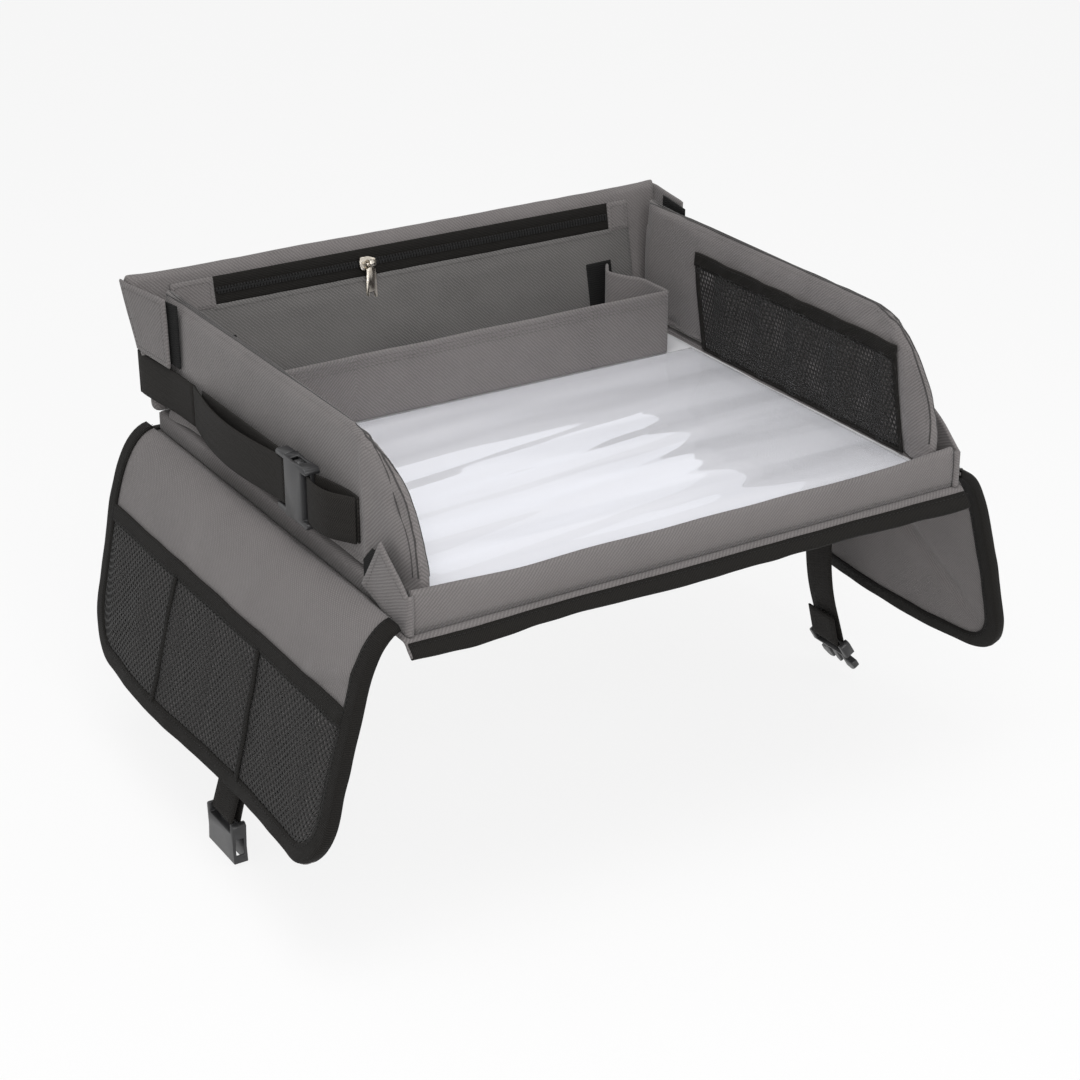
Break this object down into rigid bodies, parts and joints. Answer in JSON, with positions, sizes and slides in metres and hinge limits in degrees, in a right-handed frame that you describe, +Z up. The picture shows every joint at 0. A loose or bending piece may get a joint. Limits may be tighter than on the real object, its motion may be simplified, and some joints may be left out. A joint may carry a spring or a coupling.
{
  "type": "car seat tray table",
  "caption": "Fold-flat fabric travel tray with stiffened folding walls, clear-covered floor, organiser bin, zipped and mesh pockets, hanging side wings and side-release buckle straps.",
  "frame": {"origin": "centre of the bottom sheet's underside, where the tray rests on the lap", "axes": "+X to the tray's right, +Y to its back wall, +Z up out of the tray"},
  "size_m": [0.5362, 0.3864, 0.3354],
  "materials": {
    "grey_cloth": "woven polyester",
    "black_tape": "ribbed webbing and bias tape",
    "black_mesh": "open knitted mesh",
    "black_plastic": "moulded, satin",
    "nickel": "plated, bright",
    "white_board": "plain stiffener board",
    "white_sheet": "smooth sheet",
    "clear_film": "clear soft vinyl"
  },
  "bodies": {
    "base": {"base_cover": "grey_cloth", "base_board": "white_board", "floor_sheet": "white_sheet", "clear_film": "clear_film", "bottom_sheet": "grey_cloth", "front_binding": "black_tape", "back_binding": "black_tape", "organiser_front": "grey_cloth", "organiser_end_left": "grey_cloth", "organiser_end_right": "grey_cloth"},
    "lip": {"lip_cover": "grey_cloth", "lip_board": "white_board", "lip_tab_left": "grey_cloth", "lip_tab_right": "grey_cloth", "tab_hook_left": "black_tape", "tab_hook_right": "black_tape"},
    "left_wall": {"left_wall_cover": "grey_cloth", "left_wall_board": "white_board", "left_wall_loop_strip": "black_tape", "left_wall_net": "black_mesh", "upper_strap_left": "black_tape", "anchor_strap": "black_tape", "upper_buckle_male": "black_plastic", "upper_buckle_female": "black_plastic"},
    "right_wall": {"right_wall_cover": "grey_cloth", "right_wall_board": "white_board", "right_wall_loop_strip": "black_tape", "right_wall_net": "black_mesh", "upper_strap_right": "black_tape"},
    "back_wall": {"back_wall_cover": "grey_cloth", "back_wall_board": "white_board", "zip_pocket_front": "grey_cloth", "zipper_half_lower": "black_tape", "zipper_half_upper": "black_tape", "organiser_patch_left": "black_tape", "organiser_patch_right": "black_tape", "upper_strap_back": "black_tape"},
    "left_flap": {"back_flap_left": "grey_cloth", "flap_hook_left": "black_tape"},
    "right_flap": {"back_flap_right": "grey_cloth", "flap_hook_right": "black_tape"},
    "slider": {"zipper_slider": "nickel"},
    "puller": {"zipper_puller": "nickel"},
    "left_wing": {"left_wing_panel": "grey_cloth", "left_wing_binding": "black_tape", "left_wing_net": "black_mesh", "left_wing_pocket_edge": "black_tape"},
    "right_wing": {"right_wing_panel": "grey_cloth", "right_wing_binding": "black_tape", "right_wing_net": "black_mesh", "right_wing_pocket_edge": "black_tape"},
    "upper_prong_1": {"upper_prong_top": "black_plastic"},
    "upper_prong_2": {"upper_prong_bottom": "black_plastic"},
    "left_lower_strap": {"lower_strap_left": "black_tape"},
    "female_buckle": {"lower_buckle_female": "black_plastic"},
    "right_lower_strap": {"lower_strap_right": "black_tape"},
    "male_buckle": {"lower_buckle_male": "black_plastic"},
    "lower_prong_1": {"lower_prong_back": "black_plastic"},
    "lower_prong_2": {"lower_prong_front": "black_plastic"}
  },
  "joints": [
    {"name": "left_wing_fold", "type": "hinge", "parent": "base", "child": "left_wing", "pos_m": [-0.2067, 0, 0.009], "axis": [0, 1, 0], "range_deg": [-12, 80], "stiffness_Nm_per_rad": 0.4},
    {"name": "right_wing_fold", "type": "hinge", "parent": "base", "child": "right_wing", "pos_m": [0.2067, 0, 0.009], "axis": [0, -1, 0], "range_deg": [-12, 80], "stiffness_Nm_per_rad": 0.4},
    {"name": "left_wall_fold", "type": "hinge", "parent": "base", "child": "left_wall", "pos_m": [-0.185, 0, 0.0182], "axis": [0, 1, 0], "range_deg": [0, 80], "deforming": ["organiser_end_left"]},
    {"name": "right_wall_fold", "type": "hinge", "parent": "base", "child": "right_wall", "pos_m": [0.185, 0, 0.0182], "axis": [0, -1, 0], "range_deg": [0, 80], "deforming": ["organiser_end_right"]},
    {"name": "back_wall_fold", "type": "hinge", "parent": "base", "child": "back_wall", "pos_m": [0, 0.18, 0.0182], "axis": [-1, 0, 0], "range_deg": [0, 85]},
    {"name": "lip_fold", "type": "hinge", "parent": "base", "child": "lip", "pos_m": [0, -0.18, 0.0025], "axis": [1, 0, 0], "range_deg": [0, 85]},
    {"name": "left_flap_swing", "type": "hinge", "parent": "back_wall", "child": "left_flap", "pos_m": [-0.20578, 0.18696, 0.062], "axis": [0.1227, -0.1556, -0.9802], "range_deg": [0, 90]},
    {"name": "right_flap_swing", "type": "hinge", "parent": "back_wall", "child": "right_flap", "pos_m": [0.20578, 0.18696, 0.062], "axis": [0.1227, 0.1556, 0.9802], "range_deg": [0, 90]},
    {"name": "zipper_slide", "type": "slide", "parent": "back_wall", "child": "slider", "axis": [1, 0, 0], "range_m": [-0.109, 0.194]},
    {"name": "puller_swing", "type": "hinge", "parent": "slider", "child": "puller", "pos_m": [-0.036, 0.17202, 0.09546], "axis": [-1, 0, 0], "range_deg": [0, 150]},
    {"name": "left_strap_swing", "type": "hinge", "parent": "left_wing", "child": "left_lower_strap", "pos_m": [-0.22588, 0, -0.01863], "axis": [0, -1, 0], "range_deg": [0, 60], "stiffness_Nm_per_rad": 0.03},
    {"name": "right_strap_swing", "type": "hinge", "parent": "right_wing", "child": "right_lower_strap", "pos_m": [0.22588, -0.01, -0.01863], "axis": [0, 1, 0], "range_deg": [0, 60], "stiffness_Nm_per_rad": 0.03},
    {"name": "female_buckle_swing", "type": "hinge", "parent": "left_lower_strap", "child": "female_buckle", "pos_m": [-0.24433, 0, -0.19486], "axis": [0, 1, 0], "range_deg": [-30, 30]},
    {"name": "male_buckle_swing", "type": "hinge", "parent": "right_lower_strap", "child": "male_buckle", "pos_m": [0.24409, -0.01, -0.19289], "axis": [0, -1, 0], "range_deg": [-30, 30]},
    {"name": "upper_prong_top_squeeze", "type": "hinge", "parent": "left_wall", "child": "upper_prong_1", "pos_m": [-0.209, -0.0488, 0.06], "axis": [1, 0, 0], "range_deg": [0, 8], "stiffness_Nm_per_rad": 0.8},
    {"name": "upper_prong_bottom_squeeze", "type": "hinge", "parent": "left_wall", "child": "upper_prong_2", "pos_m": [-0.209, -0.0488, 0.041], "axis": [-1, 0, 0], "range_deg": [0, 8], "stiffness_Nm_per_rad": 0.8},
    {"name": "lower_prong_back_squeeze", "type": "hinge", "parent": "male_buckle", "child": "lower_prong_1", "pos_m": [0.25034, -0.0005, -0.2029], "axis": [-0.848, 0, -0.5299], "range_deg": [0, 8], "stiffness_Nm_per_rad": 0.8},
    {"name": "lower_prong_front_squeeze", "type": "hinge", "parent": "male_buckle", "child": "lower_prong_2", "pos_m": [0.25034, -0.0195, -0.2029], "axis": [0.848, 0, 0.5299], "range_deg": [0, 8], "stiffness_Nm_per_rad": 0.8}
  ]
}
